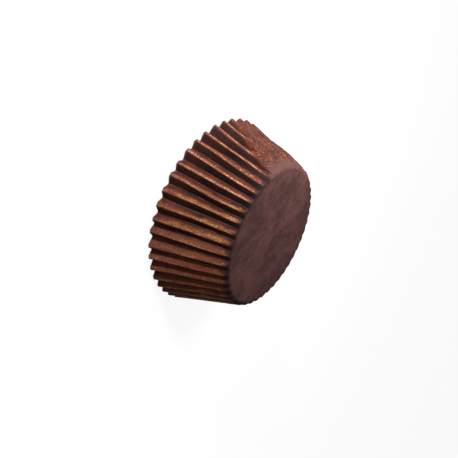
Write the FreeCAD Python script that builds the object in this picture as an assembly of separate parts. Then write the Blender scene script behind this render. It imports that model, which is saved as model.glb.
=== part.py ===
import FreeCAD, Part
import math
import os

# A pleated paper cupcake liner, pressed from one round sheet, in millimetres.
# It stands mouth down, as the photograph shows it with its base outwards. The origin is the centre of
# the mouth, on the surface it stands on, and +Z runs up its axis to the outside of the base.

# Driving dimensions
base_diameter = 50.0      # over the pleat ridges, where the wall meets the base
mouth_diameter = 66.0     # over the pleat ridges, at the mouth
height = 25.0             # from the mouth to the outside of the base
paper = 0.12              # thickness of the greaseproof sheet
pleat_count = 44
base_depth = 0.80         # of a pleat, ridge to valley, at the foot of the wall
mouth_depth = 2.70        # of a pleat at the mouth, where a flat sheet of this size closes
base_ridge_radius = 0.95  # the ridges are broad and the valleys tight, to the middle of the sheet
mouth_ridge_radius = 0.85
valley_radius = 0.45
corner_radius = 1.5       # of the bend between base and wall
flat_edge_depth = 0.30    # of the scallops that the pleats leave round the flat base
mouth_wave = 0.6          # the valleys reach this much further down than the ridges

# A fold is a few narrow flats, as in pressed paper, and rings cross the sheet at these places.
ridge_flat_count = 5
valley_flat_count = 3
bend_shares = (0.0, 0.5, 1.0)
wall_shares = (1 / 3, 2 / 3, 1.0)

half_pitch = math.pi / pleat_count
wall_lean = math.atan2((mouth_diameter - base_diameter) / 2, height)
bend = math.pi / 2 - wall_lean
foot_z = height - corner_radius * (1 - math.cos(bend))


def mix(first, last, share):
    return first + (last - first) * share


def bend_level(share):
    """Measures of the pleats on the bend, from the flat base at 0 to the foot of the wall at 1."""
    turn = share * bend
    z = height - corner_radius * (1 - math.cos(turn))
    radius = base_diameter / 2 - corner_radius * (math.sin(bend) - math.sin(turn))
    depth = mix(flat_edge_depth, base_depth, math.sin(turn) / math.sin(bend))
    aim = share * math.pi / 2
    return {"radius": radius, "depth": depth, "ridge_fold": base_ridge_radius, "ridge_z": z, "valley_z": z,
            "skin": paper * math.sin(aim), "drop": paper * math.cos(aim)}


def wall_level(share):
    """Measures of the pleats on the wall, from its foot at 0 to the mouth at 1."""
    z = mix(foot_z, 0, share)
    return {"radius": mix(base_diameter, mouth_diameter, share) / 2,
            "depth": mix(base_depth, mouth_depth, share),
            "ridge_fold": mix(base_ridge_radius, mouth_ridge_radius, share),
            "ridge_z": z + mouth_wave * share ** 3, "valley_z": z, "skin": paper, "drop": 0}


def pleat_outline(level, inner):
    """Corners of one pleat as (radius, angle, z), over its ridge at angle 0 and into the next valley.

    Ridge and valley are arcs about centres that both sides of the sheet share, so it keeps its
    thickness, and the flank between them is the line that touches both arcs.
    """
    half_skin = -level["skin"] / 2 if inner else level["skin"] / 2
    ridge_fold = level["ridge_fold"]
    folds = ridge_fold + valley_radius
    ridge_centre = level["radius"] - level["skin"] / 2 - ridge_fold
    valley_centre = ridge_centre - level["depth"] + folds
    across = valley_centre * math.sin(half_pitch)
    inwards = ridge_centre - valley_centre * math.cos(half_pitch)
    touch = math.atan2(inwards, across) + math.asin(folds / math.hypot(across, inwards))
    drop = level["drop"] if inner else 0
    corners = []
    for step in range(ridge_flat_count + 1):
        swing = touch * (2 * step / ridge_flat_count - 1)
        along = ridge_centre + (ridge_fold + half_skin) * math.cos(swing)
        sideways = (ridge_fold + half_skin) * math.sin(swing)
        corners.append((math.hypot(along, sideways), math.atan2(sideways, along), level["ridge_z"] - drop))
    for step in range(valley_flat_count + 1):
        swing = (touch - half_pitch) * (1 - 2 * step / valley_flat_count)
        along = valley_centre - (valley_radius - half_skin) * math.cos(swing)
        sideways = -(valley_radius - half_skin) * math.sin(swing)
        angle = half_pitch + math.atan2(sideways, along)
        corners.append((math.hypot(along, sideways), angle, level["valley_z"] - drop))
    return corners


def ring(level, inner):
    """Corners of all the pleats, once round the liner."""
    outline = pleat_outline(level, inner)
    points = []
    for number in range(pleat_count):
        for radius, angle, z in outline:
            turned = angle + 2 * half_pitch * number
            points.append(FreeCAD.Vector(radius * math.cos(turned), radius * math.sin(turned), z))
    return points


def facet(*corners):
    return Part.Face(Part.makePolygon(corners + corners[:1]))


def band(upper, lower):
    """Facets between two rings: one on top of each fold, and two wherever the sheet twists."""
    faces = []
    corners_per_pleat = ridge_flat_count + valley_flat_count + 2
    ridge_top = (ridge_flat_count - 1) / 2
    valley_top = ridge_flat_count + 1 + (valley_flat_count - 1) / 2
    for number, (a, d) in enumerate(zip(upper, lower)):
        b, c = upper[(number + 1) % len(upper)], lower[(number + 1) % len(lower)]
        place = number % corners_per_pleat
        if place in (ridge_top, valley_top):
            faces.append(facet(a, b, c, d))
        elif ridge_top < place < valley_top:
            faces += [facet(a, b, c), facet(a, c, d)]
        else:
            faces += [facet(a, b, d), facet(b, c, d)]
    return faces


def sheet_side(levels, inner):
    """One side of the whole sheet, and its ring at the mouth."""
    rings = [ring(level, inner) for level in levels]
    faces = [facet(*rings[0])]
    for upper, lower in zip(rings, rings[1:]):
        faces += band(upper, lower)
    return faces, rings[-1]


def make_liner():
    levels = [bend_level(share) for share in bend_shares]
    levels += [wall_level(share) for share in wall_shares]
    outside, outer_edge = sheet_side(levels, inner=False)
    inside, inner_edge = sheet_side(levels, inner=True)
    shell = Part.Shell(outside + inside + band(outer_edge, inner_edge))
    shell.sewShape()
    return Part.Solid(shell)


liner = make_liner()
print("faces", len(liner.Faces), "closed", liner.isClosed(), "volume", round(liner.Volume, 1))
os.makedirs("parts", exist_ok=True)
liner.exportStep("parts/liner.step")
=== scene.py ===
import math

import bmesh
import bpy
from mathutils import Matrix, Vector, noise


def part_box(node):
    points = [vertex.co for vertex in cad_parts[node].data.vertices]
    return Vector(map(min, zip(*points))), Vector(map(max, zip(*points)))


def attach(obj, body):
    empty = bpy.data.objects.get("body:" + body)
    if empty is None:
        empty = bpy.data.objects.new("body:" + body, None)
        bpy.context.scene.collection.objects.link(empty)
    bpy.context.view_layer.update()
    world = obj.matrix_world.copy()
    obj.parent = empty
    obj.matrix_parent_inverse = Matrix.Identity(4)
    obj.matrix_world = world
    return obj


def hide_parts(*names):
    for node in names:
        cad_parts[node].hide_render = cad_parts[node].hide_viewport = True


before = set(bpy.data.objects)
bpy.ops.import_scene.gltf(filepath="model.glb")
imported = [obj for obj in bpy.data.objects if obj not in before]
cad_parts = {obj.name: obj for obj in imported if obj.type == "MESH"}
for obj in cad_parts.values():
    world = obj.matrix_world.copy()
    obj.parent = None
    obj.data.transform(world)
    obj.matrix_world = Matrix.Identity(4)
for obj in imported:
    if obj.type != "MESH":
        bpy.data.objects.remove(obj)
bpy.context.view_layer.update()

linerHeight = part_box("liner")[1][2]
millimetre = 0.001
print("frame loaded")


class Value:
    # wraps a socket, so that maths on it reads as maths
    def __init__(self, finish, socket):
        self.finish = finish
        self.socket = socket

    def maths(self, operation, first, second):
        return self.finish.add("ShaderNodeMath", {"operation": operation}, {0: first, 1: second})

    def __add__(self, other):
        return self.maths("ADD", self, other)

    def __radd__(self, other):
        return self.maths("ADD", other, self)

    def __sub__(self, other):
        return self.maths("SUBTRACT", self, other)

    def __rsub__(self, other):
        return self.maths("SUBTRACT", other, self)

    def __mul__(self, other):
        return self.maths("MULTIPLY", self, other)

    def __rmul__(self, other):
        return self.maths("MULTIPLY", other, self)


class Finish:
    # the nodes of a material or of the world
    def __init__(self, owner):
        owner.use_nodes = True
        self.owner = owner
        self.tree = owner.node_tree
        self.tree.nodes.clear()

    def add(self, kind, settings=None, inputs=None, output=0):
        node = self.tree.nodes.new(kind)
        for name, setting in (settings or {}).items():
            setattr(node, name, setting)
        for name, given in (inputs or {}).items():
            if isinstance(given, Value):
                self.tree.links.new(given.socket, node.inputs[name])
            else:
                node.inputs[name].default_value = given
        return Value(self, node.outputs[output]) if len(node.outputs) else None

    def attribute(self, name, output="Fac"):
        return self.add("ShaderNodeAttribute", {"attribute_name": name}, output=output)

    def mix(self, share, first, second, blend="MIX"):
        # the colour sockets share their names with others of this node, so they go by number
        settings = {"data_type": "RGBA", "blend_type": blend}
        return self.add("ShaderNodeMix", settings, {0: share, 6: first, 7: second}, 2)

    def ease(self, value, low, high):
        settings = {"interpolation_type": "SMOOTHSTEP"}
        return self.add("ShaderNodeMapRange", settings, {0: value, 1: low, 2: high})


def colour(red, green, blue):
    # from the 0 to 255 of a screen colour to the linear values that Blender takes
    def linear(level):
        share = level / 255
        return share / 12.92 if share <= 0.04045 else ((share + 0.055) / 1.055) ** 2.4
    return (linear(red), linear(green), linear(blue), 1)


def between(first, last, share):
    # share is a plain number or a Value
    return first + (last - first) * share


def smooth(share):
    share = min(1, max(0, share))
    return share * share * (3 - 2 * share)


# The camera, from the base's place, size and lean in the 458 pixel photograph
photo = {
    "size": 458,
    "focalPixels": 600,
    "baseCentre": (272.7, 237.5),
    "baseRadiusPixels": 76.4,
    "axisTurn": 25.2,       # degrees, the axis runs this far below the picture's right
    "axisLean": 61.3,       # degrees between the axis and the line to the camera
    "ridgeTurn": 2.0,       # degrees, turns the ridges to where the photograph has them
    "sensorWidth": 36,
    "clipStart": 10 * millimetre,
}


def photoAxes(values):
    # the object's axes as the camera sees them: x right, y up, z towards the camera
    turn, lean = math.radians(values["axisTurn"]), math.radians(values["axisLean"])
    up = Vector((math.cos(turn) * math.sin(lean), -math.sin(turn) * math.sin(lean), math.cos(lean)))
    side = up.cross(Vector((0, 0, 1))).normalized()
    fore = up.cross(side)
    objectToPhoto = Matrix((side, fore, up)).transposed()
    return objectToPhoto @ Matrix.Rotation(math.radians(values["ridgeTurn"]), 3, "Z")


def placeCamera(values, axes, baseRadius, height):
    photoToObject = axes.transposed()
    pixel = baseRadius / values["baseRadiusPixels"]
    middle = values["size"] / 2
    across, down = values["baseCentre"]
    seenBase = Vector((across - middle, middle - down, -values["focalPixels"])) * pixel
    place = Vector((0, 0, height)) - photoToObject @ seenBase
    data = bpy.data.cameras.new("photoCamera")
    data.sensor_width = values["sensorWidth"]
    data.lens = values["focalPixels"] * values["sensorWidth"] / values["size"]
    data.clip_start = values["clipStart"]
    camera = bpy.data.objects.new("photoCamera", data)
    bpy.context.collection.objects.link(camera)
    camera.matrix_world = Matrix.Translation(place) @ photoToObject.to_4x4()
    bpy.context.scene.camera = camera


# The liner: a flat round sheet, cut from rings, then pressed into pleats
liner = {
    "pleats": 44,
    "baseRadius": 25.0 * millimetre,
    "mouthRadius": 33.0 * millimetre,
    "sheet": 0.12 * millimetre,
    "bendRadius": 1.5 * millimetre,
    "edgeDepth": 0.32 * millimetre,     # of the scallops round the flat base
    "baseDepth": 0.90 * millimetre,     # of the pleats at the foot of the wall
    "mouthDepth": 2.25 * millimetre,
    "flatTop": 0.08,                    # share of each pleat that is the flat top of its ridge
    "ridge": 0.60 * millimetre,         # radius of the ridges' two edges
    "valley": 0.38 * millimetre,        # radius of the valleys
    "mouthWave": 0.7 * millimetre,      # at the mouth the valleys reach this much further down
    "clearance": 0.05 * millimetre,     # kept free above and below

    # the mesh: rings of points, and how the points of each ridge and valley are shared out
    "stepsPerPleat": 24,
    "stepsOnTop": 1 / 12,               # of the steps from a ridge to a valley
    "stepsRoundRidge": 3 / 12,
    "stepsRoundValley": 2 / 12,
    "capRadius": 0.35,                  # share of the flat base inside its first ring
    "baseRings": 6,
    "baseRingCrowding": 0.6,            # under 1, it crowds them towards the base's edge
    "bendRings": 8,
    "wallRings": 28,

    # how the pleats differ from each other
    "lean": -0.06,                      # how far they lean over, as a share of their depth
    "wander": 0.45 * millimetre,        # how far the folds stray sideways
    "wanderAtFoot": 0.4,                # of it at the foot, growing to 1.4 at the mouth
    "unevenDepth": 0.28,                # share by which their depths differ
    "shallower": 0.04,                  # share of the depth that is lost on average
    "unevenWidth": 0.6,                 # share by which the ridges' flat tops differ
    "unevenMouth": 0.06,                # share of the depth by which the deeper ones are set in
    "crumple": 0.12 * millimetre,       # fine dents, most of all at the foot
    "crumpleInwards": 0.6,              # turns more of them inwards
    "crumpleFade": 2.2,                 # they end at 1 / 2.2 of the wall
    "crumplePressed": 1.5,              # or go on where the pleats are pressed flat

    # where the pleats were pressed flat in handling
    "pressedTurn": 192,                 # degrees
    "pressedSpread": 45,                # degrees to either side
    "pressedCore": 0.15,                # share of the spread that is pressed the most
    "pressedReach": 0.85,               # share of the wall, from its foot
    "pressedFade": 0.25,                # share of the wall over which the pleats rise again
    "pressedRagged": 0.06,              # share of the wall by which its end strays
    "pressedShare": 0.92,               # share of the depth that is lost
    "softened": 0.35 * millimetre,      # how far the base's edge gives way there
    "softenedWidth": 2.2 * millimetre,
    "softenedSpread": 1.3,              # over 1, it is full further round than the pressing
    "bulge": 0.60 * millimetre,         # how far the wall stands out there
    "bulgeStart": 0.15,                 # of half a wave, at the foot of the wall
    "bulgeWaves": 1.4,                  # half waves in the height of the wall

    # noises: waves in each pleat, waves down the wall, and two numbers that keep them apart
    "strayNoise": (0.9, 1.6, 3, 7),
    "depthNoise": (0.8, 1.2, 40, 2),
    "crumpleNoise": (2.6, 22, 9, 80),
    "widthNoise": (0.7, 2.5, 70, 4),

    # what the paper's colours read: crest runs from 0 in a valley to 1 on a ridge
    "mapScale": 100,                    # the map is the flat sheet in centimetres
    "foldsScale": 50,                   # noise units for each metre of sheet, down the folds
    "flatCrest": 0.5,                   # crest on the flat base
    "pressedCrest": 0.55,               # and what it comes near to where the pleats are pressed flat
    "pressedCrestShare": 0.75,
    "dyedAndShadedFlankLoss": 0.6,               # of the dark flank, towards the pressed area
}


def flatRadii(values, height):
    # on the flat sheet: where the base ends, where the wall starts and where the sheet ends
    lean = math.atan2(values["mouthRadius"] - values["baseRadius"], height)
    bend = math.pi / 2 - lean
    flat = values["baseRadius"] - values["bendRadius"] * math.sin(bend)
    foot = flat + values["bendRadius"] * bend
    slant = (height - values["bendRadius"] * (1 - math.cos(bend))) / math.cos(lean)
    return flat, foot, foot + slant, bend


def pleatLevel(values, height, distance):
    # radius, depth, height and share of the wall where that ring of the sheet comes
    flat, foot, edge, bend = flatRadii(values, height)
    if distance <= foot:
        turn = max(0, distance - flat) / values["bendRadius"]
        drop = values["bendRadius"] * (1 - math.cos(turn))
        depth = between(values["edgeDepth"], values["baseDepth"], math.sin(turn) / math.sin(bend))
        return flat + values["bendRadius"] * math.sin(turn), depth, height - drop, 0
    share = (distance - foot) / (edge - foot)
    footHeight = height - values["bendRadius"] * (1 - math.cos(bend))
    return (between(values["baseRadius"], values["mouthRadius"], share),
            between(values["baseDepth"], values["mouthDepth"], share), footHeight * (1 - share), share)


def foldedPoint(values, radius, depth, width, phase):
    # phase runs from 0 on a ridge, through 1 in the valley, to 2 on the next ridge
    place = 2 - phase if phase > 1 else phase
    pitch = math.pi / values["pleats"]
    topTurn = values["flatTop"] * pitch * width
    halfPitch = pitch - topTurn
    ridgeFold, valleyFold = values["ridge"], values["valley"]
    ridgeCentre = radius - ridgeFold
    valleyCentre = ridgeCentre - depth + ridgeFold + valleyFold
    across = valleyCentre * math.sin(halfPitch)
    inwards = ridgeCentre - valleyCentre * math.cos(halfPitch)
    span = math.hypot(across, inwards)
    touch = math.atan2(inwards, across) + math.asin(min(1, (ridgeFold + valleyFold) / span))

    def onRidge(swing):
        return ridgeCentre + ridgeFold * math.cos(swing), ridgeFold * math.sin(swing)

    def onValley(swing):
        # in the valley's own direction, turned back to the ridge's
        along, aside = valleyCentre - valleyFold * math.cos(swing), -valleyFold * math.sin(swing)
        return (along * math.cos(halfPitch) - aside * math.sin(halfPitch),
                along * math.sin(halfPitch) + aside * math.cos(halfPitch))

    onTop = values["stepsOnTop"]
    overRidge = values["stepsRoundRidge"]
    overValley = values["stepsRoundValley"]
    if place < onTop:
        along, aside, angle = radius, 0, topTurn * place / onTop
    else:
        place -= onTop
        if place < overRidge:
            along, aside = onRidge(touch * place / overRidge)
        elif place > 1 - onTop - overValley:
            along, aside = onValley((touch - halfPitch) * (1 - onTop - place) / overValley)
        else:
            share = (place - overRidge) / (1 - onTop - overRidge - overValley)
            ridgeEnd, valleyEnd = onRidge(touch), onValley(touch - halfPitch)
            along, aside = (between(first, last, share) for first, last in zip(ridgeEnd, valleyEnd))
        angle = topTurn + math.atan2(aside, along)
    return math.hypot(along, aside), 2 * pitch - angle if phase > 1 else angle


def flatSheet(values, height):
    flat, foot, edge = flatRadii(values, height)[:3]
    size = flat * values["capRadius"]
    stretches = ((size, flat, values["baseRings"], values["baseRingCrowding"]),
                 (flat, foot, values["bendRings"], 1),
                 (foot, edge, values["wallRings"], 1))
    rings = [between(start, end, ((ring + 1) / count) ** crowding)
             for start, end, count, crowding in stretches for ring in range(count)]

    bm = bmesh.new()
    around = values["pleats"] * values["stepsPerPleat"]
    bmesh.ops.create_circle(bm, cap_ends=True, cap_tris=True, segments=around, radius=size)
    rimEdges = [e for e in bm.edges if e.is_boundary]
    for ring in rings:
        grown = bmesh.ops.extrude_edge_only(bm, edges=rimEdges)["geom"]
        newVerts = [g for g in grown if isinstance(g, bmesh.types.BMVert)]
        bmesh.ops.scale(bm, vec=Vector((ring / size, ring / size, 1)), verts=newVerts)
        rimEdges = [g for g in grown if isinstance(g, bmesh.types.BMEdge) and g.is_boundary]
        size = ring
    bmesh.ops.recalc_face_normals(bm, faces=bm.faces)
    return bm


def reachAt(values, angle):
    # how far down the wall the pleats are pressed flat in that direction
    away = abs((math.degrees(angle) - values["pressedTurn"] + 180) % 360 - 180) / values["pressedSpread"]
    core = values["pressedCore"]
    return values["pressedReach"] * (1 - smooth(away * (1 + core) - core))


def flattenedAt(values, reach, share, uneven):
    if reach <= 0:
        return 0
    fade = values["pressedFade"]
    return smooth((reach * (1 + fade) - share + values["pressedRagged"] * uneven) / fade)


def wallNoise(wave, spot, share):
    across, down, first, second = wave
    return noise.noise(spot * across + Vector((first, second, share * down)))


def mapPaper(values, bm):
    # the flat sheet is the paper's own map, so that its fibres follow the folds
    paperMap = bm.loops.layers.uv.new("paper")
    for face in bm.faces:
        for corner in face.loops:
            corner[paperMap].uv = corner.vert.co.xy * values["mapScale"]


def pressPleats(values, bm, height):
    flat, foot, edge = flatRadii(values, height)[:3]
    crest = bm.verts.layers.float.new("crest")
    along = bm.verts.layers.float.new("along")
    pressed = bm.verts.layers.float.new("pressed")
    dyedAndShadedFlank = bm.verts.layers.float.new("dyedAndShadedFlank")
    folds = bm.verts.layers.float_vector.new("folds")
    around = values["pleats"] * values["stepsPerPleat"]
    top = height - values["clearance"]
    for vert in bm.verts:
        distance = vert.co.xy.length
        angle = math.atan2(vert.co.y, vert.co.x) % (2 * math.pi)
        reach = reachAt(values, angle)
        softened = values["softened"] * smooth(reach * values["softenedSpread"])
        softened *= math.exp(-((distance - flat) / values["softenedWidth"]) ** 2)
        vert[along] = (distance - flat) / (edge - flat)
        # the ring at the base's edge counts as wall, with room for rounding
        if distance < flat * 0.999:
            vert.co.z = top - softened
            vert[crest] = values["flatCrest"]
            continue
        step = round(angle / (2 * math.pi) * around) % around
        pleat, stepInPleat = divmod(step, values["stepsPerPleat"])
        phase = 2 * stepInPleat / values["stepsPerPleat"]
        outer, depth, z, share = pleatLevel(values, height, distance)
        fade = min(1, max(0, (distance - flat) / (foot - flat)))
        # one unit of this is one pleat
        spot = Vector((math.cos(angle), math.sin(angle), 0)) * values["pleats"] / (2 * math.pi)
        stray = wallNoise(values["strayNoise"], spot, share)
        uneven = wallNoise(values["depthNoise"], spot, share)
        rough = wallNoise(values["crumpleNoise"], spot, share)
        width = 1 + values["unevenWidth"] * wallNoise(values["widthNoise"], spot, share)
        flattened = flattenedAt(values, reach, share, uneven)

        depth *= 1 + fade * (values["unevenDepth"] * uneven - values["shallower"])
        depth *= 1 - values["pressedShare"] * flattened
        outer -= fade * values["mouthDepth"] * values["unevenMouth"] * share * max(0, uneven)
        radius, turn = foldedPoint(values, outer, depth, width, phase)

        creased = max(0, 1 - share * values["crumpleFade"] + values["crumplePressed"] * flattened)
        dent = values["crumple"] * creased * fade * (rough - values["crumpleInwards"])
        swell = math.sin(math.pi * min(1, share * values["bulgeWaves"] + values["bulgeStart"]))
        dent += values["bulge"] * flattened * fade * swell
        reached = radius + dent - softened - values["clearance"] * share
        turn += 2 * math.pi * pleat / values["pleats"]
        turn += values["wander"] * stray * fade / radius * (values["wanderAtFoot"] + share)
        turn -= values["lean"] * fade * (outer - radius) / radius
        onRidge = abs(phase - 1)
        z += values["mouthWave"] * share ** 3 * onRidge
        z = between(values["clearance"], top, z / height) - softened
        vert.co = Vector((math.cos(turn) * reached, math.sin(turn) * reached, z))

        worn = between(onRidge, values["pressedCrest"], flattened * values["pressedCrestShare"])
        vert[crest] = between(values["flatCrest"], worn, fade)
        # one flank of each pleat, painted dark: partly its dark dye, partly painted shade
        vert[dyedAndShadedFlank] = max(0, math.sin(math.pi * phase)) * fade * (1 - flattened)
        vert[dyedAndShadedFlank] *= 1 - values["dyedAndShadedFlankLoss"] * reach
        vert[pressed] = flattened
        # round the liner as fast as the pleats, and slowly down the wall
        vert[folds] = spot + Vector((0, 0, distance * values["foldsScale"]))


def makeLiner(values, height):
    bm = flatSheet(values, height)
    mapPaper(values, bm)
    pressPleats(values, bm, height)
    mesh = bpy.data.meshes.new("pressedLiner")
    bm.to_mesh(mesh)
    bm.free()
    mesh.shade_smooth()
    piece = bpy.data.objects.new("pressedLiner", mesh)
    bpy.context.collection.objects.link(piece)
    thickness = piece.modifiers.new("sheet", "SOLIDIFY")
    thickness.thickness = values["sheet"]
    thickness.offset = -1
    thickness.material_offset = 1
    return piece


# Brown greaseproof paper, paler and more coppery on the ridges, partly rubbed and partly painted sheen; one
# flank of each pleat painted dark, partly dye and partly painted shade; painted highlights on the ridges
# and the other flank; painted shade at the wall's foot and round the base's edge
paper = {
    "flank": colour(93, 47, 39),
    "shade": colour(47, 28, 33),
    # the dark flank's colour: partly dark dye, partly painted shade
    "deepDyeAndShade": colour(27, 13, 19),
    # the ridges' paler and coppery colours: partly wear, partly painted sheen
    "rubbedAndSheen": colour(122, 61, 41),
    "copper": colour(150, 82, 52),
    "gold": colour(166, 102, 50),
    # painted highlight colour, for thin lines on the ridges and glints on the lit flank
    "paintedHighlight": colour(234, 168, 122),
    "base": colour(101, 65, 62),
    "baseShade": colour(72, 46, 46),
    "edge": colour(150, 92, 82),
    "inside": colour(62, 44, 46),
    "roughness": 0.70,
    "crestRoughness": 0.32,
    "gloss": 0.24,
    "glossTint": (1.0, 0.80, 0.66, 1),
    "bumpStrength": 0.35,
    "bumpDistance": 0.1 * millimetre,
    "weaveStretch": (0.22, 1, 1),

    # noises, each about 0: the coordinates that it lies in, its scale, detail and roughness
    "grains": {
        "cloud": ("sheet", 0.9, 4, 0.6),
        "fibre": ("sheet", 4, 6, 0.7),
        "fleck": ("sheet", 16, 3, 0.6),
        "weave": ("stretched", 11, 3, 0.6),
        "streak": ("folds", 3.2, 3, 0.6),
        "thread": ("folds", 5.5, 2, 0.5),
    },

    # spots on the flat sheet, in centimetres, with edges made ragged by the noises
    "spots": {
        "golden": {"centre": (0.55, -3.2, 0), "full": 0.2, "end": 2.0,
                   "ragged": {"cloud": 2.5, "fibre": 4}},
        "handled": {"centre": (2.3, -2.9, 0), "full": 0.3, "end": 2.3, "ragged": {"cloud": 2}},
    },

    # each layer: its patterns' weights, the sums at which it starts and is full, and its strength
    "layers": {
        "dyed": ({"streak": 0.7, "cloud": 0.3}, -0.14, 0.10, 1),
        # the ridges paler and coppery: partly rubbed wear, partly painted sheen
        "rubbedAndSheen": ({"crest": 1, "cloud": 0.72, "fibre": 0.72, "streak": 1.0, "handled": 0.35},
                   0.15, 0.80, 1),
        "bright": ({"crest": 1, "cloud": 0.72, "fibre": 0.72, "streak": 1.2, "golden": 0.25,
                    "handled": 0.15}, 0.60, 1.25, 1),
        "pressedDyed": ({"cloud": 0.5, "streak": 0.5}, -0.12, 0.06, 1),
        "pressedThreads": ({"thread": 1}, 0.02, 0.16, 0.4),
        "pressedBlotches": ({"cloud": 0.3, "fibre": 0.4, "fleck": 0.3}, 0.0, 0.10, 0.6),
        # one flank of each pleat painted dark, partly dye and partly painted shade
        "flankDyeAndPaintedShade": ({"dyedAndShadedFlank": 1.1, "crest": -0.35, "fibre": 0.5}, 0.07, 0.45, 0.88),
        "inValley": ({"crest": -1}, -0.13, -0.03, 1),
        "valleyThreads": ({"thread": 1}, -0.20, 0.10, 0.55),
        # painted highlights along the ridges, and painted glints on the flank that is not painted dark
        "onRidge": ({"crest": 1}, 0.82, 0.95, 1),
        "ridgePaintedHighlights": ({"fleck": 0.5, "thread": 0.5, "golden": 0.04}, -0.06, 0.10, 0.66),
        "onFlank": ({"crest": 1, "dyedAndShadedFlank": -0.6}, 0.30, 0.70, 1),
        "flankPaintedGlints": ({"fleck": 0.4, "streak": 0.4, "fibre": 0.2, "golden": 0.04}, 0.03, 0.15, 0.42),
        "paler": ({"along": 1, "fibre": 0.6}, 0.50, 1.05, 0.16),
        # the mouth's edge painted paler: partly the paper's cut edge, partly painted highlight
        "rim": ({"along": 1}, 0.970, 0.992, 0.7),
        # painted shade at the foot of the wall, where it bends onto the base, fading over the lowest part
        # of the wall
        "aboveFoot": ({"along": 1, "pressed": -0.08, "fibre": 0.05, "streak": 0.16, "crest": 0.03},
                      0.02, 0.17, 1),
        "mottled": ({"fibre": 0.3, "cloud": 0.45, "weave": 0.25}, -0.08, 0.08, 1),
        # painted shade along the base's edge, where the wall bends up
        "baseEdge": ({"along": 1}, -0.04, 0.01, 0.7),
        "onWall": ({"along": 1}, 0.0, 0.02, 1),
        "insideFibres": ({"fibre": 1}, -0.20, 0.20, 0.35),
        "speckles": ({"fleck": 1}, -0.20, 0.20, 1),
        "shiny": ({"along": 1}, 0.02, 0.14, 1),
    },
    "bumps": {"fibre": 0.7, "fleck": 0.3},      # weights of the noises in the grain's relief
    "pressedWear": 0.85,                # strength of the colours of the pressed area
    "pressedHighlightLoss": 0.8,            # share of the painted highlights, and of the shine, that it lacks
    "pressedShineLoss": 0.6,
    "speckleDepths": (0.24, 0.56),      # on the base and on the wall
    "speckleLevel": 0.97,               # brightness in the middle between dark and pale speckles
}


class Patterns:
    # what the colours of the paper are made from, by name
    def __init__(self, finish, values):
        self.finish = finish
        self.layers = values["layers"]
        sheet = finish.add("ShaderNodeUVMap", {"uv_map": "paper"})
        stretched = {"Vector": sheet, "Scale": values["weaveStretch"]}
        places = {"sheet": sheet, "stretched": finish.add("ShaderNodeMapping", {}, stretched),
                  "folds": finish.attribute("folds", "Vector")}
        self.named = {name: finish.attribute(name) for name in ("crest", "along", "pressed", "dyedAndShadedFlank")}
        for name, (place, scale, detail, roughness) in values["grains"].items():
            inputs = {"Vector": places[place], "Scale": scale, "Detail": detail, "Roughness": roughness}
            self.named[name] = finish.add("ShaderNodeTexNoise", {}, inputs) - 0.5
        for name, spot in values["spots"].items():
            away = finish.add("ShaderNodeVectorMath", {"operation": "DISTANCE"},
                              {0: sheet, 1: spot["centre"]}, "Value")
            away += self.total(spot["ragged"])
            self.named[name] = 1 - finish.ease(away, spot["full"], spot["end"])

    def total(self, weights):
        return sum(self.named[name] * weight for name, weight in weights.items())

    def layer(self, name):
        weights, low, high, strength = self.layers[name]
        return self.finish.ease(self.total(weights), low, high) * strength


def paintWall(finish, values, patterns):
    pressed = patterns.named["pressed"]
    unpressed = 1 - pressed
    wall = finish.mix(patterns.layer("dyed"), values["shade"], values["flank"])
    # ridges paler and more coppery: partly rubbed wear, partly painted sheen
    wall = finish.mix(patterns.layer("rubbedAndSheen"), wall, values["rubbedAndSheen"])
    bright = finish.mix(patterns.named["golden"], values["copper"], values["gold"])
    wall = finish.mix(patterns.layer("bright"), wall, bright)

    flattened = finish.mix(patterns.layer("pressedDyed"), values["baseShade"], values["flank"])
    flattened = finish.mix(patterns.layer("pressedThreads"), flattened, values["rubbedAndSheen"])
    flattened = finish.mix(patterns.layer("pressedBlotches"), flattened, values["copper"])
    wall = finish.mix(pressed * values["pressedWear"], wall, flattened)

    # one flank of each pleat is painted dark, partly its dark dye and partly painted shade
    wall = finish.mix(patterns.layer("flankDyeAndPaintedShade") * unpressed, wall, values["deepDyeAndShade"])
    crease = patterns.layer("inValley") * unpressed * patterns.layer("valleyThreads")
    wall = finish.mix(crease, wall, values["edge"])
    # painted highlights: thin cream lines along the ridges and glints on the lit flank
    onRidge = patterns.layer("onRidge") * (1 - pressed * values["pressedHighlightLoss"])
    wall = finish.mix(patterns.layer("ridgePaintedHighlights") * onRidge, wall, values["paintedHighlight"])
    wall = finish.mix(patterns.layer("flankPaintedGlints") * patterns.layer("onFlank"), wall, values["paintedHighlight"])
    wall = finish.mix(patterns.layer("paler"), wall, values["edge"])
    # the mouth's edge paler: partly the paper's cut edge, partly painted highlight
    wall = finish.mix(patterns.layer("rim"), wall, values["edge"])
    # painted shade: the wall's foot is darker where it bends onto the base, base coloured where pressed
    foot = finish.mix(pressed, values["shade"], values["base"])
    return finish.mix(patterns.layer("aboveFoot"), foot, wall)


def paintBase(finish, values, patterns):
    base = finish.mix(patterns.layer("mottled"), values["baseShade"], values["base"])
    # painted shade along the base's edge, but not where the pleats are pressed
    return finish.mix(patterns.layer("baseEdge") * (1 - patterns.named["pressed"]), base, values["shade"])


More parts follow.
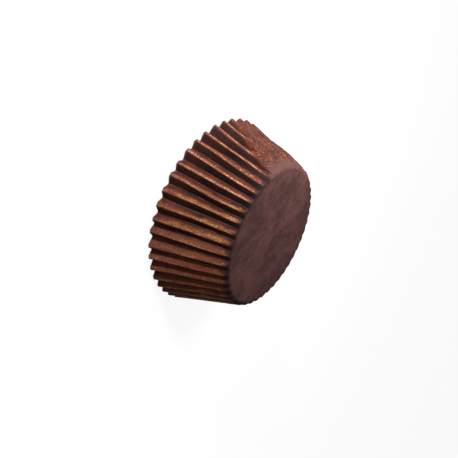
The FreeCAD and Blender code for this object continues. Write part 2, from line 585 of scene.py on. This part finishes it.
def paintPaper(values, inside):
    finish = Finish(bpy.data.materials.new("paperInside" if inside else "paperOutside"))
    patterns = Patterns(finish, values)
    onWall = patterns.layer("onWall")
    if inside:
        shown = finish.mix(patterns.layer("insideFibres"), values["inside"], values["flank"])
    else:
        shown = finish.mix(onWall, paintBase(finish, values, patterns), paintWall(finish, values, patterns))
    speckle = (patterns.layer("speckles") - 0.5) * between(*values["speckleDepths"], onWall)
    level = speckle + values["speckleLevel"]
    grey = finish.add("ShaderNodeCombineColor", {}, {"Red": level, "Green": level, "Blue": level})
    shown = finish.mix(1.0, shown, grey, "MULTIPLY")
    shineKept = 1 - patterns.named["pressed"] * values["pressedShineLoss"]
    shine = patterns.named["crest"] * patterns.layer("shiny") * shineKept
    bump = finish.add("ShaderNodeBump", {}, {"Height": patterns.total(values["bumps"]),
                                             "Strength": values["bumpStrength"],
                                             "Distance": values["bumpDistance"]})
    surface = finish.add("ShaderNodeBsdfPrincipled", {}, {
        "Base Color": shown, "Roughness": between(values["roughness"], values["crestRoughness"], shine),
        "Specular IOR Level": values["gloss"], "Specular Tint": values["glossTint"], "Normal": bump})
    finish.add("ShaderNodeOutputMaterial", {}, {"Surface": surface})
    return finish.owner


# A white room, so that the object stands alone as in the photograph
room = {
    "floorSize": 3.0,
    "floor": (0.50, 0.50, 0.50, 1),
    "white": (1, 1, 1, 1),
    "floorGlow": 0.87,                  # what the camera alone sees
    "worldStrength": 0.16,              # the camera alone sees it at 1
    "lamps": {
        # the direction is in the picture: right, up, towards the camera
        "key": {"energy": 1.42, "from": (0.02, 0.62, 0.85), "size": 0.08, "distance": 0.50},
        "fill": {"energy": 0.078, "from": (0.80, 0.46, 0.42), "size": 0.07, "distance": 0.088},
    },
}


def makeFloor(values):
    bm = bmesh.new()
    bmesh.ops.create_grid(bm, x_segments=1, y_segments=1, size=values["floorSize"])
    mesh = bpy.data.meshes.new("floor")
    bm.to_mesh(mesh)
    bm.free()
    floor = bpy.data.objects.new("floor", mesh)
    bpy.context.collection.objects.link(floor)
    finish = Finish(bpy.data.materials.new("floor"))
    cameraRay = finish.add("ShaderNodeLightPath", output="Is Camera Ray")
    dull = finish.add("ShaderNodeBsdfDiffuse", {}, {"Color": values["floor"]})
    glow = finish.add("ShaderNodeEmission", {}, {"Color": values["white"],
                                                 "Strength": cameraRay * values["floorGlow"]})
    both = finish.add("ShaderNodeAddShader", {}, {0: dull, 1: glow})
    finish.add("ShaderNodeOutputMaterial", {}, {"Surface": both})
    floor.data.materials.append(finish.owner)


def makeWorld(values):
    finish = Finish(bpy.data.worlds.new("room"))
    cameraRay = finish.add("ShaderNodeLightPath", output="Is Camera Ray")
    strength = between(values["worldStrength"], 1, cameraRay)
    light = finish.add("ShaderNodeBackground", {}, {"Color": values["white"], "Strength": strength})
    finish.add("ShaderNodeOutputWorld", {}, {"Surface": light})
    bpy.context.scene.world = finish.owner


def addLamp(name, values, axes, target):
    data = bpy.data.lights.new(name, "AREA")
    data.shape = "DISK"
    data.size = values["size"]
    data.energy = values["energy"]
    lamp = bpy.data.objects.new(name, data)
    bpy.context.collection.objects.link(lamp)
    direction = (axes.transposed() @ Vector(values["from"])).normalized()
    lamp.location = target + direction * values["distance"]
    lamp.rotation_euler = direction.to_track_quat("Z", "Y").to_euler()


piece = makeLiner(liner, linerHeight)
piece.data.materials.append(paintPaper(paper, inside=False))
piece.data.materials.append(paintPaper(paper, inside=True))
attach(piece, "root")
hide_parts("liner")
print("liner pressed")

axes = photoAxes(photo)
placeCamera(photo, axes, liner["baseRadius"], linerHeight)
makeFloor(room)
makeWorld(room)
for name, lamp in room["lamps"].items():
    addLamp(name, lamp, axes, Vector((0, 0, linerHeight / 2)))
bpy.context.scene.view_settings.view_transform = "Standard"
print("camera and light placed")
